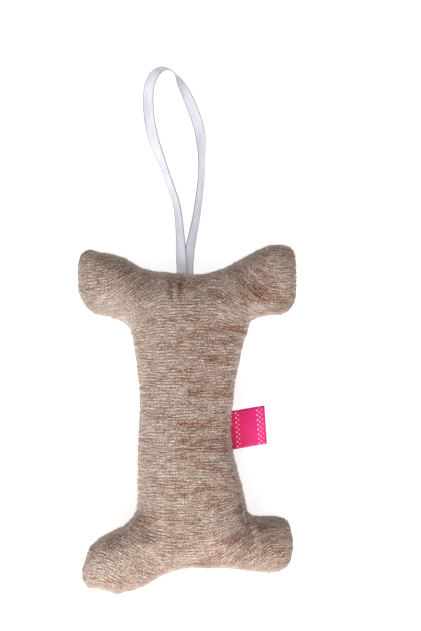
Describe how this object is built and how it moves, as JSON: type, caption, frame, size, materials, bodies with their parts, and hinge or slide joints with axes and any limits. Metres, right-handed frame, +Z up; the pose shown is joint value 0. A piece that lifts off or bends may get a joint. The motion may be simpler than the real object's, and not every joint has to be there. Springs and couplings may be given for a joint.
{
  "type": "stuffed bone dog toy",
  "caption": "Stuffed bone-shaped squeaky toy of ribbed chenille, with a ribbon hanging loop, a folded side label and a squeaker bulb inside.",
  "frame": {"origin": "under the middle of the bone's box, on the flat that it rests on, lying on its back", "axes": "+Y along the bone towards the hanging loop, +X across it towards the side label, +Z up through the front"},
  "size_m": [0.1434, 0.3486, 0.0445],
  "materials": {
    "chenille": "matte",
    "fibre": "matte",
    "satin": "satin",
    "label": "satin",
    "bulb": "satin",
    "plug": "gloss",
    "reed": "gloss"
  },
  "bodies": {
    "back_side": {"back_panel": "chenille", "shaft_fill_back": "fibre", "knob_fill_top_left": "fibre", "knob_fill_top_right": "fibre", "knob_fill_bottom_left": "fibre", "knob_fill_bottom_right": "fibre", "squeaker_plug": "plug", "reed_seat": "plug", "reed_wedge": "plug"},
    "front_side": {"front_panel": "chenille", "shaft_fill_front": "fibre", "squeaker_bulb": "bulb"},
    "reed_tongue": {"reed": "reed"},
    "loop": {"hanging_loop": "satin"},
    "label": {"side_label": "label"}
  },
  "joints": [
    {"name": "squeeze", "type": "slide", "parent": "back_side", "child": "front_side", "axis": [0, 0, -1], "range_m": [0, 0.012], "stiffness_N_per_m": 900, "springref_m": -0.002, "deforming": ["front_panel", "shaft_fill_front", "squeaker_bulb"]},
    {"name": "reed_flutter", "type": "hinge", "parent": "back_side", "child": "reed_tongue", "pos_m": [0, 0.00031, 0.01225], "axis": [1, 0, 0], "range_deg": [-3, 3], "stiffness_Nm_per_rad": 0.0017},
    {"name": "loop_swing", "type": "hinge", "parent": "back_side", "child": "loop", "pos_m": [0, 0.0974, 0.0226], "axis": [1, 0, 0], "range_deg": [0, 120]},
    {"name": "label_flap", "type": "hinge", "parent": "back_side", "child": "label", "pos_m": [0.03199, -0.00665, 0.022], "axis": [-0.0698, 0.9976, 0], "range_deg": [-80, 80], "stiffness_Nm_per_rad": 0.001}
  ]
}
